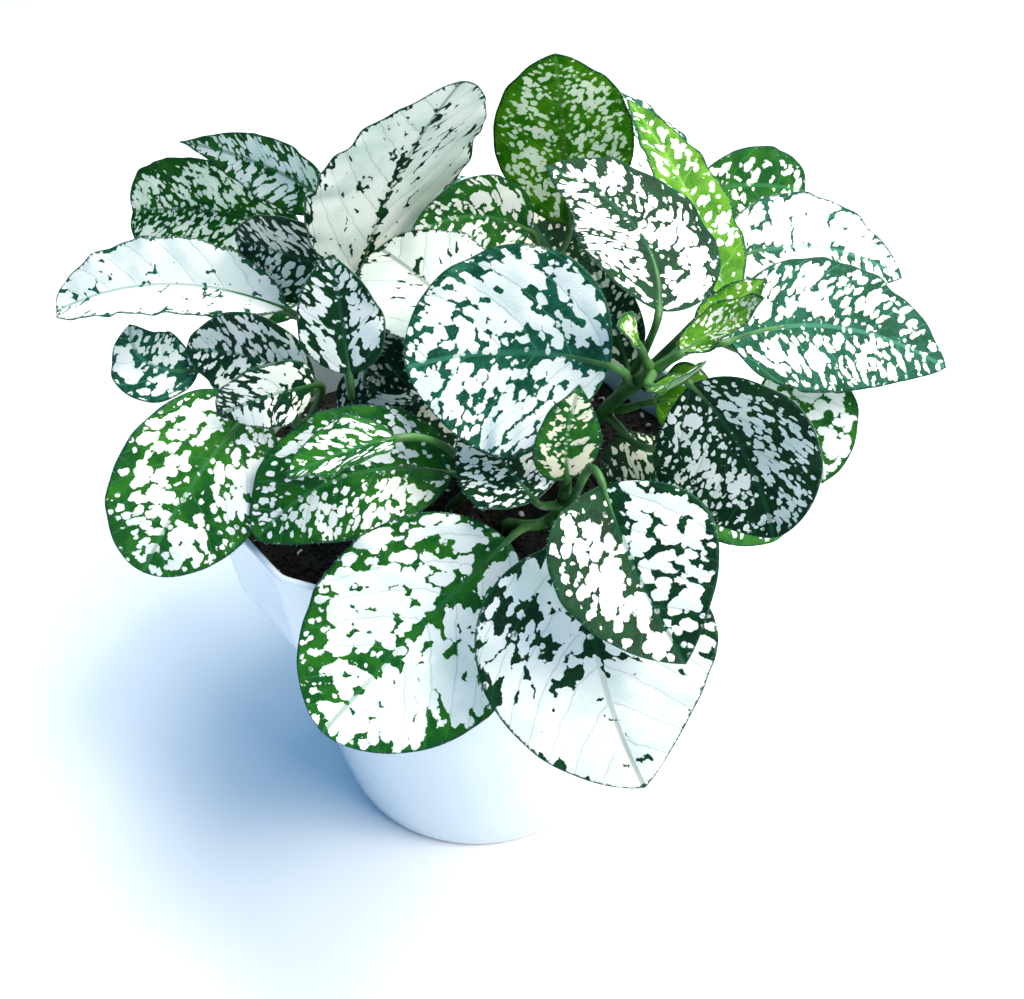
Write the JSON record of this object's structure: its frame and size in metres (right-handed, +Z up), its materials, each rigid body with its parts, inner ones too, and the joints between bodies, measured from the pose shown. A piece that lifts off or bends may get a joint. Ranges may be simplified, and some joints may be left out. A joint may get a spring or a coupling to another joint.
{
  "type": "potted polka dot plant",
  "caption": "Small potted polka dot plant: white-splashed green leaves on short stems in a faceted white pot",
  "frame": {"origin": "centre of the pot's flat underside, on the surface it stands on", "axes": "+Z up along the pot's axis, -Y towards the viewer at the front, +X to the viewer's right"},
  "size_m": [0.1925, 0.1827, 0.1763],
  "materials": {
    "glazed_white": "smooth glossy white",
    "soil": "damp dark potting soil, crumbly and matt",
    "stem_green": "soft green stem with fine hairs",
    "leaf_spotted": "dark green leaf splashed with white, satin",
    "leaf_white": "mostly white leaf with green veins and margin, satin",
    "leaf_bright": "young yellow-green leaf with pale spots, satin"
  },
  "bodies": {
    "root": {"pot": "glazed_white", "soil": "soil", "stem_front": "stem_green", "stem_shoot": "stem_green", "stem_right": "stem_green", "stem_crown": "stem_green", "stem_back_left": "stem_green", "stem_left": "stem_green", "stem_low": "stem_green", "stem_rear": "stem_green", "leaf_front_drop": "leaf_white", "leaf_front_over_pot": "leaf_white", "leaf_front_upper": "leaf_spotted", "leaf_front_inner": "leaf_spotted", "leaf_front_bud": "leaf_bright", "leaf_front_side": "leaf_spotted", "leaf_front_fill": "leaf_spotted", "leaf_front_under": "leaf_spotted", "leaf_middle_round": "leaf_spotted", "leaf_middle_right": "leaf_spotted", "leaf_under_right": "leaf_spotted", "leaf_middle_top": "leaf_spotted", "leaf_shoot_right": "leaf_bright", "leaf_shoot_left": "leaf_bright", "leaf_shoot_back": "leaf_bright", "leaf_shoot_front": "leaf_bright", "leaf_shoot_inner": "leaf_bright", "leaf_middle_shade": "leaf_spotted", "leaf_right_long": "leaf_spotted", "leaf_right_pale": "leaf_white", "leaf_right_back": "leaf_spotted", "leaf_right_low": "leaf_white", "leaf_top_folded": "leaf_bright", "leaf_top_behind": "leaf_white", "leaf_top_big": "leaf_spotted", "leaf_top_curled": "leaf_spotted", "leaf_crown_pale": "leaf_white", "leaf_crown_small": "leaf_spotted", "leaf_crown_shade": "leaf_spotted", "leaf_left_upright": "leaf_white", "leaf_left_pointed": "leaf_white", "leaf_left_back": "leaf_spotted", "leaf_left_shade": "leaf_spotted", "leaf_left_far": "leaf_white", "leaf_left_under": "leaf_bright", "leaf_left_standing": "leaf_spotted", "leaf_left_round": "leaf_white", "leaf_left_cream": "leaf_spotted", "leaf_left_big": "leaf_spotted", "leaf_left_small": "leaf_spotted", "leaf_left_fill": "leaf_spotted", "leaf_low_large": "leaf_spotted", "leaf_low_dark": "leaf_spotted", "leaf_low_small": "leaf_spotted", "leaf_low_back": "leaf_spotted", "leaf_rear_1": "leaf_spotted", "leaf_rear_2": "leaf_white", "leaf_rear_3": "leaf_spotted", "leaf_rear_4": "leaf_spotted", "leaf_rear_5": "leaf_white"}
  },
  "joints": []
}
